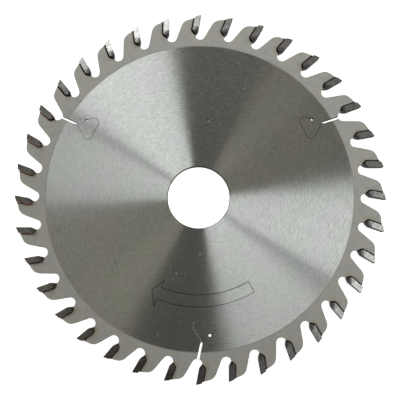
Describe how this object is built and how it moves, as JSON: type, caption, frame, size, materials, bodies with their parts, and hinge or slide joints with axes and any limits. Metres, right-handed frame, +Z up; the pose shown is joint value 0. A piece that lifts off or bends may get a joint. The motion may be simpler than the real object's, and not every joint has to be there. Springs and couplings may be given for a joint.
{
  "type": "scoring saw blade",
  "caption": "Flat circular scoring saw blade: ground steel plate with a central bore, curled expansion slots, a stepped outer band and conical carbide teeth brazed into its rim.",
  "frame": {"origin": "on the axis of the bore, in the plane that the lower sides of the teeth rest on", "axes": "+Z up along the axis of the bore; the cutting corner of the first tooth lies on +X; the blade cuts clockwise seen from above"},
  "size_m": [0.18, 0.18, 0.0055],
  "materials": {
    "plate": "circular ground steel",
    "carbide": "ground tungsten carbide",
    "braze": "silver solder with flux stains"
  },
  "bodies": {
    "root": {"blade_plate": "plate", "carbide_tip_01": "carbide", "carbide_tip_02": "carbide", "carbide_tip_03": "carbide", "carbide_tip_04": "carbide", "carbide_tip_05": "carbide", "carbide_tip_06": "carbide", "carbide_tip_07": "carbide", "carbide_tip_08": "carbide", "carbide_tip_09": "carbide", "carbide_tip_10": "carbide", "carbide_tip_11": "carbide", "carbide_tip_12": "carbide", "carbide_tip_13": "carbide", "carbide_tip_14": "carbide", "carbide_tip_15": "carbide", "carbide_tip_16": "carbide", "carbide_tip_17": "carbide", "carbide_tip_18": "carbide", "carbide_tip_19": "carbide", "carbide_tip_20": "carbide", "carbide_tip_21": "carbide", "carbide_tip_22": "carbide", "carbide_tip_23": "carbide", "carbide_tip_24": "carbide", "carbide_tip_25": "carbide", "carbide_tip_26": "carbide", "carbide_tip_27": "carbide", "carbide_tip_28": "carbide", "carbide_tip_29": "carbide", "carbide_tip_30": "carbide", "carbide_tip_31": "carbide", "carbide_tip_32": "carbide", "carbide_tip_33": "carbide", "carbide_tip_34": "carbide", "carbide_tip_35": "carbide", "carbide_tip_36": "carbide"}
  },
  "joints": []
}
